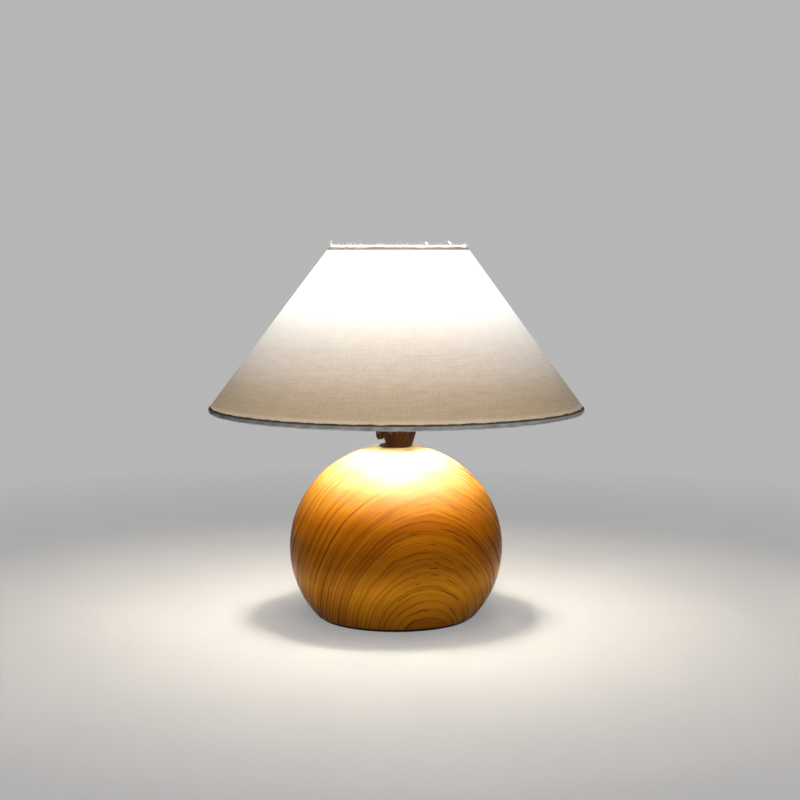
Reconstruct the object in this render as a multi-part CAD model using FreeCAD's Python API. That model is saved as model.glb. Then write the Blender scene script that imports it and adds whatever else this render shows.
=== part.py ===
import FreeCAD, Part
import math
import os

# Small table lamp: a turned wooden ball, a small Edison screw lampholder and a conical
# fabric shade clamped on the holder by a retaining ring. Millimetres, +Z up, front is -Y.

# Driving sizes of the ball and its foot
BALL_RADIUS = 71.5
BALL_HALF_HEIGHT = 68.8
BALL_CENTRE_Z = 47.2
BALL_TOP_FLAT_RADIUS = 14.0
BALL_SIDE_POINTS = 28
PAD_THICK = 2.0
PAD_RADIUS = 51.0
RECESS_RADIUS = 26.0
RECESS_DEPTH = 12.0

# Driving sizes of the centre tube and its fixings
TUBE_OD = 10.0
TUBE_ID = 7.6
TUBE_DROP = 8.0
WASHER_RADIUS = 12.0
WASHER_THICK = 1.6
NUT_FLATS = 16.0
NUT_HEIGHT = 3.95

# Driving sizes of the cord inlet
INLET_Z = 10.0
INLET_BORE_R = 3.0
INLET_WALL = 1.5
INLET_LENGTH = 11.0
INLET_FLANGE_R = 5.0
INLET_FLANGE_T = 1.6
INLET_SINK = 0.6

# Driving sizes of the lampholder's lower cup
DOME_BASE_R = 10.7
DOME_TOP_R = 13.7
DOME_HEIGHT = 18.6
DOME_FLARE_H = 10.4
DOME_WALL = 1.5
DOME_FLOOR = 2.0
DOME_BOSS_H = 5.2
DOME_BOSS_WALL = 2.6
SPIGOT_H = 2.6
SIDE_GAP_LOW = 1.2
SIDE_GAP_HIGH = 6.7
SIDE_GAP_X_LOW = 6.2
SIDE_GAP_X_HIGH = 8.0
TAB_WIDTH = 6.6
TAB_LOW = 5.4
TAB_HIGH = 16.6
TAB_PROUD = 0.3
TAB_THICK = 2.2
TAB_ANGLES = (-145.0, 35.0)
GRUB_R = 1.45
GRUB_Z = 3.2
SLOT_WIDTH = 0.5
SLOT_DEPTH = 0.8

# Driving sizes of the lampholder's sleeve and block
SLEEVE_THREAD_R = 14.0
SLEEVE_THREAD_H = 20.6
SLEEVE_SHOULDER_R = 16.4
SLEEVE_SHOULDER_T = 2.0
SLEEVE_COLLAR_H = 4.4
SLEEVE_COLLAR_WALL = 0.5
SLEEVE_INNER_R = 12.3
SLEEVE_MOUTH_R = 9.4
SLEEVE_LIP_T = 1.6
SLEEVE_CHAMFER = 0.8
BLOCK_R = 9.2
BLOCK_NOSE_R = 7.6
BLOCK_DROP = 12.0
BLOCK_NOSE_H = 9.3
BLOCK_RISE = 0.6
BLOCK_FLANGE_T = 1.6
GUIDE_WALL = 1.5
GUIDE_SET_BACK = 2.0
SHELL_INNER_R = 6.85
SHELL_WALL = 0.4
SHELL_LOW = 2.2
SHELL_SET_BACK = 3.0
TERMINAL_X = 4.4
TERMINAL_HOLE_R = 1.6
TERMINAL_SHANK_R = 1.3
TERMINAL_HEAD_R = 2.3
TERMINAL_HEAD_H = 1.25
TERMINAL_SHANK_H = 3.6
CONTACT_LENGTH = 8.0
CONTACT_WIDTH = 3.6
CONTACT_THICK = 0.5
CONTACT_RISE = 1.2
CONTACT_LOW_R = 1.8
CONTACT_TOP_R = 1.1

# Driving sizes of the bulb
GLOBE_R = 22.5
GLOBE_WALL = 0.9
GLOBE_LOW_ANGLE = -58.0
GLOBE_STEPS = 18
NECK_R = 7.3
NECK_FLARE_R = 9.4
NECK_FLARE_H = 6.6
BULB_LENGTH = 78.0
CAP_LENGTH = 23.0
CAP_WALL = 0.5
CAP_LIP_R = 8.2
CAP_LIP_WALL = 0.75
CAP_LIP_H = 3.2
CAP_FLARE_H = 2.8
CAP_LOW = 2.6
CAP_HOLE_R = 4.2
BEAD_LOW = 0.9
BEAD_SMALL_R = 2.6
TIP_SMALL_R = 1.6
TIP_R = 2.3
TIP_STEM_R = 1.45
TIP_LENGTH = 3.0

# Driving sizes of the shade and the retaining ring
SHADE_DIA = 250.0
SHADE_HEIGHT = 106.7
SHADE_TOP_DIA = 91.3
HEM_R = 2.0
WIRE_R = 1.25
SKIN_T = 0.6
SKIN_OUTSET = 2.3
SKIN_LOW_TRIM = 1.95
SKIN_TOP_TRIM = 0.5
FITTER_T = 2.0
FITTER_WIDTH = 5.6
ARM_R = 0.9
ARM_ROOT = 0.6
ARM_ANGLES = (90.0, 210.0, 330.0)
RING_OUTER_R = 19.2
RING_H = 6.4
RING_CHAMFER = 1.0
RING_GRIPS = 24
GRIP_R = 0.9
GRIP_OUTSET = 0.35

# Named clearances
RUN = 0.05
EASY = 0.2
TOUCH = 0.02
BODY_GAP = 0.3

# Levels worked out from the sizes above
BALL_TOP_Z = BALL_CENTRE_Z + BALL_HALF_HEIGHT * math.sqrt(
    1.0 - (BALL_TOP_FLAT_RADIUS / BALL_RADIUS) ** 2)
RECESS_TOP_Z = PAD_THICK + RECESS_DEPTH
TUBE_R = TUBE_OD / 2.0
TUBE_LOW_Z = RECESS_TOP_Z - TUBE_DROP
DOME_TOP_Z = BALL_TOP_Z + DOME_HEIGHT
SHOULDER_LOW_Z = DOME_TOP_Z + SLEEVE_COLLAR_H
SHOULDER_TOP_Z = SHOULDER_LOW_Z + SLEEVE_SHOULDER_T
SLEEVE_TOP_Z = SHOULDER_TOP_Z + SLEEVE_THREAD_H
FITTER_LOW_Z = SHOULDER_TOP_Z + RUN
FITTER_TOP_Z = FITTER_LOW_Z + FITTER_T
BLOCK_LOW_Z = DOME_TOP_Z - BLOCK_DROP
BLOCK_TOP_Z = SHOULDER_TOP_Z + BLOCK_RISE
CONTACT_TOP_Z = BLOCK_TOP_Z + CONTACT_RISE
BULB_LOW_Z = CONTACT_TOP_Z + BODY_GAP
BULB_TOP_Z = BULB_LOW_Z + BULB_LENGTH
GLOBE_Z = BULB_TOP_Z - GLOBE_R
SHADE_LOW_Z = FITTER_LOW_Z + FITTER_T / 2.0
SHADE_TOP_Z = SHADE_LOW_Z + SHADE_HEIGHT
LOW_R = SHADE_DIA / 2.0 - HEM_R
TOP_R = SHADE_TOP_DIA / 2.0 - HEM_R
SLOPE = (LOW_R - TOP_R) / SHADE_HEIGHT
SPIGOT_R = SLEEVE_INNER_R - EASY
RING_BORE = SLEEVE_THREAD_R + RUN
SHELL_OUTER_R = SHELL_INNER_R + SHELL_WALL


def vec(x, y, z):
    return FreeCAD.Vector(x, y, z)


def line(a, b):
    return Part.makeLine(vec(a[0], 0, a[1]), vec(b[0], 0, b[1]))


def smooth(points):
    """Curve through (radius, height) points in the XZ plane."""
    curve = Part.BSplineCurve()
    curve.interpolate([vec(r, 0, z) for r, z in points])
    return curve.toShape()


def lathe_edges(edges):
    """Solid of revolution about Z from edges that close a profile."""
    face = Part.Face(Part.Wire(Part.__sortEdges__(edges)))
    return face.revolve(vec(0, 0, 0), vec(0, 0, 1), 360)


def lathe(points):
    """Solid of revolution about Z from (radius, height) corners."""
    return lathe_edges([line(a, b) for a, b in zip(points, points[1:] + points[:1])])


def tube(r_in, r_out, z_low, z_high):
    return lathe([(r_in, z_low), (r_out, z_low), (r_out, z_high), (r_in, z_high)])


def rod(radius, z_low, z_high, x=0.0):
    return Part.makeCylinder(radius, z_high - z_low, vec(x, 0, z_low))


def back_rod(radius, y_low, length, z):
    """Cylinder that lies along +Y."""
    return Part.makeCylinder(radius, length, vec(0, y_low, z), vec(0, 1, 0))


def torus(ring_r, tube_r, z):
    return Part.makeTorus(ring_r, tube_r, vec(0, 0, z), vec(0, 0, 1))


def turned(shape, degrees):
    copy = shape.copy()
    copy.rotate(vec(0, 0, 0), vec(0, 0, 1), degrees)
    return copy


def hexagon(across_flats, z_low, height):
    r = across_flats / math.sqrt(3.0)
    corners = []
    for k in range(7):
        a = math.radians(60.0 * k)
        corners.append(vec(r * math.cos(a), r * math.sin(a), z_low))
    return Part.Face(Part.makePolygon(corners)).extrude(vec(0, 0, height))


def ball_radius_at(z):
    return BALL_RADIUS * math.sqrt(1.0 - ((z - BALL_CENTRE_Z) / BALL_HALF_HEIGHT) ** 2)


# Ball with its top flat, central bore, recess underneath and way for the cord
def ball_side():
    low = math.asin((PAD_THICK - BALL_CENTRE_Z) / BALL_HALF_HEIGHT)
    top = math.asin((BALL_TOP_Z - BALL_CENTRE_Z) / BALL_HALF_HEIGHT)
    side = []
    for k in range(BALL_SIDE_POINTS + 1):
        t = low + (top - low) * k / BALL_SIDE_POINTS
        side.append((BALL_RADIUS * math.cos(t), BALL_CENTRE_Z + BALL_HALF_HEIGHT * math.sin(t)))
    return side


def make_ball():
    side = ball_side()
    bore = TUBE_R + EASY
    corners = [side[-1], (bore, BALL_TOP_Z), (bore, RECESS_TOP_Z), (RECESS_RADIUS, RECESS_TOP_Z),
               (RECESS_RADIUS, PAD_THICK), side[0]]
    flats = [line(a, b) for a, b in zip(corners, corners[1:])]
    ball = lathe_edges([smooth(side)] + flats)
    way = back_rod(INLET_BORE_R + INLET_WALL + EASY, RECESS_RADIUS * 0.8, BALL_RADIUS, INLET_Z)
    seat = back_rod(INLET_FLANGE_R + EASY, inlet_seat_y(), BALL_RADIUS, INLET_Z)
    return ball.cut(way).cut(seat)


def inlet_seat_y():
    """Depth of the sunk seat, a full circle in the curved side."""
    return ball_radius_at(INLET_Z - INLET_FLANGE_R) - INLET_FLANGE_T - INLET_SINK


def make_inlet():
    y = inlet_seat_y()
    stem = INLET_LENGTH - INLET_FLANGE_T
    flange = back_rod(INLET_FLANGE_R, y, INLET_FLANGE_T, INLET_Z)
    body = back_rod(INLET_BORE_R + INLET_WALL, y - stem, stem, INLET_Z)
    hole = back_rod(INLET_BORE_R, y - INLET_LENGTH, 2 * INLET_LENGTH, INLET_Z)
    return flange.fuse(body).cut(hole).removeSplitter()


def make_washer():
    return tube(TUBE_R + EASY, WASHER_RADIUS, RECESS_TOP_Z - WASHER_THICK, RECESS_TOP_Z)


def make_nut():
    low = RECESS_TOP_Z - WASHER_THICK - NUT_HEIGHT
    return hexagon(NUT_FLATS, low, NUT_HEIGHT).cut(rod(TUBE_R + TOUCH, low - 1.0, RECESS_TOP_Z))


def make_tube():
    top = BALL_TOP_Z + DOME_BOSS_H - EASY
    return tube(TUBE_ID / 2.0, TUBE_R, TUBE_LOW_Z, top)


# Lower cup of the lampholder: threaded boss, side gap for the cord grip and two tab windows
def make_dome():
    base = BALL_TOP_Z
    top = DOME_TOP_Z
    flare = base + DOME_FLARE_H
    lean = (DOME_TOP_R - DOME_BASE_R) / DOME_FLARE_H
    floor_r = DOME_BASE_R + lean * DOME_FLOOR - DOME_WALL
    wall_r = DOME_TOP_R - DOME_WALL
    boss_r = TUBE_R + EASY + DOME_BOSS_WALL
    mouth_r = SPIGOT_R - DOME_WALL
    cup = lathe([
        (TUBE_R + EASY, base), (DOME_BASE_R, base), (DOME_TOP_R, flare), (DOME_TOP_R, top),
        (SPIGOT_R, top), (SPIGOT_R, top + SPIGOT_H), (mouth_r, top + SPIGOT_H),
        (mouth_r, top - DOME_WALL), (wall_r, top - DOME_WALL), (wall_r, flare),
        (floor_r, base + DOME_FLOOR), (boss_r, base + DOME_FLOOR), (boss_r, base + DOME_BOSS_H),
        (TUBE_R + EASY, base + DOME_BOSS_H),
    ])
    cup = cup.cut(side_gap())
    for angle in TAB_ANGLES:
        cup = cup.cut(turned(tab_blank(EASY), angle))
    return cup.cut(back_rod(GRUB_R + TOUCH, TUBE_R - 1.0, DOME_TOP_R, base + GRUB_Z))


def side_gap():
    """Slanted gap on the left of the cup, open outwards."""
    low = BALL_TOP_Z + SIDE_GAP_LOW
    high = BALL_TOP_Z + SIDE_GAP_HIGH
    far = DOME_TOP_R + 1.0
    corners = [vec(-SIDE_GAP_X_LOW, -far, low), vec(-far, -far, low), vec(-far, -far, high),
               vec(-SIDE_GAP_X_HIGH, -far, high), vec(-SIDE_GAP_X_LOW, -far, low)]
    return Part.Face(Part.makePolygon(corners)).extrude(vec(0, 2 * far, 0))


def tab_blank(grow):
    """Tab with a round lower end, on the +X side, grown all round by a clearance."""
    half = TAB_WIDTH / 2.0 + grow
    low = BALL_TOP_Z + TAB_LOW + TAB_WIDTH / 2.0
    high = BALL_TOP_Z + TAB_HIGH + grow
    x_low = DOME_TOP_R + TAB_PROUD - TAB_THICK - grow
    deep = TAB_THICK + 2 * grow
    plate = Part.makeBox(deep, 2 * half, high - low, vec(x_low, -half, low))
    foot = Part.makeCylinder(half, deep, vec(x_low, 0, low), vec(1, 0, 0))
    return plate.fuse(foot).removeSplitter()


def make_tabs():
    return Part.makeCompound([turned(tab_blank(0.0), angle) for angle in TAB_ANGLES])


def make_grub():
    z = BALL_TOP_Z + GRUB_Z
    start = TUBE_R + TOUCH
    screw = back_rod(GRUB_R, start, DOME_BASE_R - start, z)
    slot = Part.makeBox(2 * GRUB_R + 1.0, SLOT_DEPTH + 1.0, SLOT_WIDTH,
                        vec(-GRUB_R - 0.5, DOME_BASE_R - SLOT_DEPTH, z - SLOT_WIDTH / 2.0))
    return screw.cut(slot)


# Sleeve with the outer thread and the shoulder that carries the shade fitter
def make_sleeve():
    low = DOME_TOP_Z + EASY
    top = SLEEVE_TOP_Z
    collar = DOME_TOP_R + SLEEVE_COLLAR_WALL
    lip = top - SLEEVE_LIP_T
    return lathe([
        (SLEEVE_INNER_R, low), (collar, low), (collar, SHOULDER_LOW_Z),
        (SLEEVE_SHOULDER_R, SHOULDER_LOW_Z), (SLEEVE_SHOULDER_R, SHOULDER_TOP_Z),
        (SLEEVE_THREAD_R, SHOULDER_TOP_Z), (SLEEVE_THREAD_R, top - SLEEVE_CHAMFER),
        (SLEEVE_THREAD_R - SLEEVE_CHAMFER, top), (SLEEVE_MOUTH_R, top), (SLEEVE_MOUTH_R, lip),
        (SLEEVE_INNER_R, lip),
    ])


# Terminal block with the guide wall round the contact shell
def make_block():
    flange_low = DOME_TOP_Z + SPIGOT_H + EASY
    flange_top = BLOCK_TOP_Z + BLOCK_FLANGE_T
    guide_top = SLEEVE_TOP_Z - GUIDE_SET_BACK
    guide_in = SHELL_OUTER_R + TOUCH
    guide_out = SHELL_OUTER_R + GUIDE_WALL
    block = lathe([
        (0, BLOCK_LOW_Z), (BLOCK_NOSE_R, BLOCK_LOW_Z), (BLOCK_R, BLOCK_LOW_Z + BLOCK_NOSE_H),
        (BLOCK_R, flange_low), (SPIGOT_R, flange_low), (SPIGOT_R, flange_top),
        (guide_out, flange_top), (guide_out, guide_top), (guide_in, guide_top),
        (guide_in, BLOCK_TOP_Z), (0, BLOCK_TOP_Z),
    ])
    for x in (-TERMINAL_X, TERMINAL_X):
        block = block.cut(rod(TERMINAL_HOLE_R, BLOCK_LOW_Z - 1.0, BLOCK_LOW_Z + TERMINAL_SHANK_H, x))
    return block


def make_terminal_screws():
    screws = []
    for x in (-TERMINAL_X, TERMINAL_X):
        shank = rod(TERMINAL_SHANK_R, BLOCK_LOW_Z, BLOCK_LOW_Z + TERMINAL_SHANK_H, x)
        head = rod(TERMINAL_HEAD_R, BLOCK_LOW_Z - TERMINAL_HEAD_H, BLOCK_LOW_Z, x)
        slot = Part.makeBox(2 * TERMINAL_HEAD_R, SLOT_WIDTH, SLOT_WIDTH,
                            vec(x - TERMINAL_HEAD_R, -SLOT_WIDTH / 2.0,
                                BLOCK_LOW_Z - TERMINAL_HEAD_H))
        screws.append(head.fuse(shank).cut(slot))
    return Part.makeCompound(screws)


def make_contact():
    strip = Part.makeBox(CONTACT_LENGTH, CONTACT_WIDTH, CONTACT_THICK,
                         vec(-CONTACT_LENGTH / 2.0, -CONTACT_WIDTH / 2.0, BLOCK_TOP_Z))
    crown = Part.makeCone(CONTACT_LOW_R, CONTACT_TOP_R, CONTACT_RISE, vec(0, 0, BLOCK_TOP_Z))
    return strip.fuse(crown)


def make_shell():
    return tube(SHELL_INNER_R, SHELL_OUTER_R, BLOCK_TOP_Z + SHELL_LOW, SLEEVE_TOP_Z - SHELL_SET_BACK)


# Bulb: glass globe, screw cap, insulating bead and end contact
def globe_outline():
    neck_z = BULB_LOW_Z + CAP_LENGTH - CAP_LIP_H + CAP_LIP_WALL
    points = [(NECK_R, neck_z), (NECK_R + 0.3, neck_z + 3.0), (NECK_FLARE_R, neck_z + NECK_FLARE_H)]
    for k in range(GLOBE_STEPS):
        a = math.radians(GLOBE_LOW_ANGLE + (90.0 - GLOBE_LOW_ANGLE) * k / GLOBE_STEPS)
        points.append((GLOBE_R * math.cos(a), GLOBE_Z + GLOBE_R * math.sin(a)))
    return points + [(0.0, BULB_TOP_Z)]


def set_in(points, wall):
    """The same outline moved inwards by the wall."""
    moved = []
    for i, (r, z) in enumerate(points):
        a = points[max(i - 1, 0)]
        b = points[min(i + 1, len(points) - 1)]
        size = math.hypot(b[0] - a[0], b[1] - a[1])
        moved.append((r - wall * (b[1] - a[1]) / size, z + wall * (b[0] - a[0]) / size))
    moved[0] = (points[0][0] - wall, points[0][1])
    moved[-1] = (0.0, points[-1][1] - wall)
    return moved


def make_globe():
    outer = globe_outline()
    inner = set_in(outer, GLOBE_WALL)
    return lathe_edges([smooth(outer), smooth(inner), line(outer[0], inner[0]),
                        line(outer[-1], inner[-1])])


def make_cap():
    low = BULB_LOW_Z + CAP_LOW
    top = BULB_LOW_Z + CAP_LENGTH
    r = SHELL_INNER_R - RUN
    lip_z = top - CAP_LIP_H
    return lathe([
        (CAP_HOLE_R, low), (r - 1.0, low), (r, low + 1.2), (r, lip_z - CAP_FLARE_H),
        (CAP_LIP_R, lip_z), (CAP_LIP_R, top), (CAP_LIP_R - CAP_LIP_WALL, top),
        (CAP_LIP_R - CAP_LIP_WALL, lip_z + 0.6), (r - CAP_WALL, lip_z - CAP_FLARE_H + 0.6),
        (r - CAP_WALL, low + 1.6), (CAP_HOLE_R, low + 0.6),
    ])


def make_bead():
    low = BULB_LOW_Z + BEAD_LOW
    top = BULB_LOW_Z + CAP_LOW
    wide = CAP_HOLE_R - RUN
    inner = TIP_STEM_R + RUN
    return lathe([(inner, low), (BEAD_SMALL_R, low), (wide, top - 0.1), (wide, top + 0.6),
                  (inner, top + 0.6)])


def make_tip():
    low = BULB_LOW_Z
    seat = low + BEAD_LOW - RUN
    return lathe([(0, low), (TIP_SMALL_R, low), (TIP_R, seat), (TIP_STEM_R, seat),
                  (TIP_STEM_R, low + TIP_LENGTH), (0, low + TIP_LENGTH)])


# Shade: skin laid over the outside of both rolled hems, wires and fitter
def skin_radius(z):
    """Outer radius of the cone of the skin at a height."""
    return LOW_R - SLOPE * (z - SHADE_LOW_Z) + SKIN_OUTSET


def make_skin():
    low = SHADE_LOW_Z + SKIN_LOW_TRIM
    top = SHADE_TOP_Z - SKIN_TOP_TRIM
    across = SKIN_T * math.hypot(1.0, SLOPE)
    cone = lathe([
        (skin_radius(low) - across, low), (skin_radius(low), low),
        (skin_radius(top), top), (skin_radius(top) - across, top),
    ])
    return cone.cut(torus(LOW_R, HEM_R, SHADE_LOW_Z)).cut(torus(TOP_R, HEM_R, SHADE_TOP_Z))


def make_fitter():
    return tube(RING_BORE, RING_BORE + FITTER_WIDTH, FITTER_LOW_Z, FITTER_TOP_Z)


def raw_arms(radius):
    """Three round wires between the fitter ring and the lower wire."""
    root = RING_BORE + FITTER_WIDTH - ARM_ROOT
    arm = Part.makeCylinder(radius, LOW_R - root, vec(root, 0, SHADE_LOW_Z), vec(1, 0, 0))
    return [turned(arm, angle) for angle in ARM_ANGLES]


def make_arms():
    fitter = make_fitter()
    wire = torus(LOW_R, WIRE_R, SHADE_LOW_Z)
    arms = []
    for arm in raw_arms(ARM_R):
        arms.append(max(arm.cut(fitter).cut(wire).Solids, key=lambda s: s.Volume))
    return Part.makeCompound(arms)


def make_hem(ring_r, z):
    return torus(ring_r, HEM_R, z).cut(torus(ring_r, WIRE_R, z))


def make_bottom_hem():
    hem = make_hem(LOW_R, SHADE_LOW_Z)
    for arm in raw_arms(ARM_R + RUN):
        hem = hem.cut(arm)
    return hem


# Retaining ring with grip flutes round its edge
def make_ring():
    low = FITTER_TOP_Z + RUN
    top = low + RING_H
    ring = lathe([
        (RING_BORE, low), (RING_OUTER_R, low), (RING_OUTER_R, top - RING_CHAMFER),
        (RING_OUTER_R - RING_CHAMFER, top), (RING_BORE, top),
    ])
    flute = rod(GRIP_R, low - 1.0, top + 1.0, RING_OUTER_R + GRIP_OUTSET)
    cuts = [turned(flute, 360.0 * k / RING_GRIPS) for k in range(RING_GRIPS)]
    return ring.cut(Part.makeCompound(cuts))


pieces = {
    "foot_pad": rod(PAD_RADIUS, 0.0, PAD_THICK),
    "ball_body": make_ball(),
    "cord_inlet": make_inlet(),
    "centre_tube": make_tube(),
    "tube_washer": make_washer(),
    "tube_nut": make_nut(),
    "holder_dome": make_dome(),
    "holder_tabs": make_tabs(),
    "holder_grub_screw": make_grub(),
    "holder_sleeve": make_sleeve(),
    "terminal_block": make_block(),
    "terminal_screws": make_terminal_screws(),
    "centre_contact": make_contact(),
    "screw_shell": make_shell(),
    "retaining_ring": make_ring(),
    "shade_fitter": make_fitter(),
    "shade_arms": make_arms(),
    "shade_skin": make_skin(),
    "bottom_wire": torus(LOW_R, WIRE_R, SHADE_LOW_Z),
    "bottom_hem": make_bottom_hem(),
    "top_wire": torus(TOP_R, WIRE_R, SHADE_TOP_Z),
    "top_hem": make_hem(TOP_R, SHADE_TOP_Z),
    "bulb_globe": make_globe(),
    "bulb_cap": make_cap(),
    "bulb_insulator": make_bead(),
    "bulb_tip": make_tip(),
}

os.makedirs("parts", exist_ok=True)
for name, shape in pieces.items():
    shape.exportStep("parts/" + name + ".step")
    box = shape.BoundBox
    spans = (box.XMin, box.XMax, box.YMin, box.YMax, box.ZMin, box.ZMax)
    print(name, len(shape.Solids), shape.isValid(), round(shape.Volume, 1),
          [round(v, 2) for v in spans])
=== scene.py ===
import math

import bmesh
import bpy
import numpy as np
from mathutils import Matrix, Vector


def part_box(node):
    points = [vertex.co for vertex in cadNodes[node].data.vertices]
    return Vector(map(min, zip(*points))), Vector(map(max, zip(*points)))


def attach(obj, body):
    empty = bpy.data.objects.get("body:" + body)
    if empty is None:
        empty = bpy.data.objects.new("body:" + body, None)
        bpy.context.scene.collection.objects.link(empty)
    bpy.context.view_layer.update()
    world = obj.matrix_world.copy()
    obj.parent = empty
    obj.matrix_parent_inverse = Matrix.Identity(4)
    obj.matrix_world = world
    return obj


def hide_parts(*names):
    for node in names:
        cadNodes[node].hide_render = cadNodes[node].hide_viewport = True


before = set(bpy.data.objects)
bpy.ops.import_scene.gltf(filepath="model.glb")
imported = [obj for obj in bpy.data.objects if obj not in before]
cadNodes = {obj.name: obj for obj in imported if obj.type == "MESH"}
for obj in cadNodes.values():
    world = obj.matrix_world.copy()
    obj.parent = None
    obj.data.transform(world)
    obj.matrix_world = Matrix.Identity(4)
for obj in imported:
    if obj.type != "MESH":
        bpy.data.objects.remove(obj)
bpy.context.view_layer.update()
scene = bpy.context.scene
scene.view_settings.view_transform = "Standard"
print("frame loaded:", len(cadNodes), "nodes")

# camera
cameraPlace = {"location": (0.0027, -1.050, 0.2458), "pitchDown": 5.445, "lens": 70.92,
               "sensor": 36.0, "clipStart": 0.01}
cameraData = bpy.data.cameras.new("camera")
cameraData.lens = cameraPlace["lens"]
cameraData.sensor_width = cameraPlace["sensor"]
cameraData.clip_start = cameraPlace["clipStart"]
cameraObject = bpy.data.objects.new("camera", cameraData)
cameraObject.location = cameraPlace["location"]
cameraObject.rotation_euler = (math.radians(90.0 - cameraPlace["pitchDown"]), 0.0, 0.0)
scene.collection.objects.link(cameraObject)
scene.camera = cameraObject


# short forms for node trees
def addNode(tree, kind, inputs=None, **settings):
    made = tree.nodes.new(kind)
    for key, value in settings.items():
        setattr(made, key, value)
    for key, value in (inputs or {}).items():
        if isinstance(value, bpy.types.NodeSocket):
            tree.links.new(value, made.inputs[key])
        else:
            made.inputs[key].default_value = value
    return made


def newGroup(name, kind, inputs, outputs):
    tree = bpy.data.node_groups.new(name, kind)
    for label, socket, value in inputs:
        made = tree.interface.new_socket(label, in_out="INPUT", socket_type="NodeSocket" + socket)
        if value is not None:
            made.default_value = value
    for label, socket in outputs:
        tree.interface.new_socket(label, in_out="OUTPUT", socket_type="NodeSocket" + socket)
    given = tree.nodes.new("NodeGroupInput").outputs
    done = tree.nodes.new("NodeGroupOutput").inputs
    return tree, given, done


def newMaterial(name, **sockets):
    made = bpy.data.materials.new(name)
    made.use_nodes = True
    shader = made.node_tree.nodes["Principled BSDF"]
    for key, value in sockets.items():
        shader.inputs[key.replace("_", " ")].default_value = value
    return made, made.node_tree, shader


def maths(tree, operation, first, second=0.0, third=0.0):
    return addNode(tree, "ShaderNodeMath", {0: first, 1: second, 2: third},
                   operation=operation).outputs[0]


def times(tree, first, second):
    return maths(tree, "MULTIPLY", first, second)


# a look keeps such a pair as (factor, added)
def plusTimes(tree, first, factor, added):
    return maths(tree, "MULTIPLY_ADD", first, factor, added)


def mapped(tree, value, fromSpan, toSpan=(0.0, 1.0)):
    return addNode(tree, "ShaderNodeMapRange", {
        "Value": value, "From Min": fromSpan[0], "From Max": fromSpan[1],
        "To Min": toSpan[0], "To Max": toSpan[1]}).outputs["Result"]


# a stop's tint is a grey level or a colour
def ramp(tree, factor, stops):
    made = addNode(tree, "ShaderNodeValToRGB", {"Fac": factor})
    elements = made.color_ramp.elements
    while len(elements) < len(stops):
        elements.new(0.5)
    for element, (place, tint) in zip(elements, stops):
        element.position = place
        element.color = (*(tint if isinstance(tint, tuple) else (tint,) * 3), 1.0)
    return made.outputs["Color"]


def mixed(tree, factor, first, second, blend="MIX"):
    made = addNode(tree, "ShaderNodeMix", data_type="RGBA", blend_type=blend)
    for index, value in ((0, factor), (6, first), (7, second)):
        if isinstance(value, bpy.types.NodeSocket):
            tree.links.new(value, made.inputs[index])
        else:
            made.inputs[index].default_value = (*value, 1.0) if index else value
    return made.outputs[2]


def vectorOf(tree, x=0.0, y=0.0, z=0.0):
    return addNode(tree, "ShaderNodeCombineXYZ", {0: x, 1: y, 2: z}).outputs[0]


def vectorMaths(tree, operation, inputs, output="Vector"):
    return addNode(tree, "ShaderNodeVectorMath", inputs, operation=operation).outputs[output]


def split(tree, place):
    return addNode(tree, "ShaderNodeSeparateXYZ", {0: place}).outputs


def objectPlace(tree):
    return addNode(tree, "ShaderNodeTexCoord").outputs["Object"]


def noiseAt(tree, place, scale, detail=2.0, roughness=0.5):
    return addNode(tree, "ShaderNodeTexNoise", {"Vector": place, "Scale": scale, "Detail": detail,
                                                "Roughness": roughness}).outputs[0]


def lightPath(tree):
    return addNode(tree, "ShaderNodeLightPath").outputs


def bumped(tree, shader, height, strength, distance):
    made = addNode(tree, "ShaderNodeBump", {"Height": height, "Strength": strength,
                                            "Distance": distance})
    tree.links.new(made.outputs[0], shader.inputs["Normal"])


def give(nodeName, made):
    slots = cadNodes[nodeName].data.materials
    slots.clear()
    slots.append(made)


# floor, world and lamp
stageLook = {"floorSize": 9.0, "floorDrop": 0.0002, "floorTint": (0.45, 0.45, 0.46, 1.0),
             "floorRough": 0.9, "nearShare": 0.55, "nearRadius": 0.20, "farRadius": 0.75,
             "backLevel": 0.47, "worldFill": 0.24, "mirrorDim": 0.7,
             "keyWatts": 21.0, "keySize": 1.1, "keyPlace": (-0.05, -1.75, 1.05),
             "keyAim": (0.0, 0.0, 0.12)}


def buildFloor():
    half = stageLook["floorSize"] / 2
    mesh = bpy.data.meshes.new("floor")
    mesh.from_pydata([(-half, -half, 0), (half, -half, 0), (half, half, 0), (-half, half, 0)],
                     [], [(0, 1, 2, 3)])
    floor = bpy.data.objects.new("floor", mesh)
    floor.location.z = -stageLook["floorDrop"]
    scene.collection.objects.link(floor)
    made, tree, shader = newMaterial("floorPale", Roughness=stageLook["floorRough"],
                                     Base_Color=stageLook["floorTint"])
    away = vectorMaths(tree, "LENGTH", {0: objectPlace(tree)}, "Value")
    share = mapped(tree, away, (stageLook["nearRadius"], stageLook["farRadius"]),
                   (stageLook["nearShare"], 1.0))
    seen = lightPath(tree)["Is Camera Ray"]
    own = addNode(tree, "ShaderNodeEmission", {"Strength": stageLook["backLevel"]})
    pale = addNode(tree, "ShaderNodeMixShader", {0: times(tree, seen, share),
                                                 1: shader.outputs[0], 2: own.outputs[0]})
    # clear from below, so that the foot shows
    below = addNode(tree, "ShaderNodeNewGeometry").outputs["Backfacing"]
    clear = addNode(tree, "ShaderNodeBsdfTransparent")
    both = addNode(tree, "ShaderNodeMixShader", {0: below, 1: pale.outputs[0],
                                                 2: clear.outputs[0]})
    tree.links.new(both.outputs[0], tree.nodes["Material Output"].inputs["Surface"])
    mesh.materials.append(made)


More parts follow.
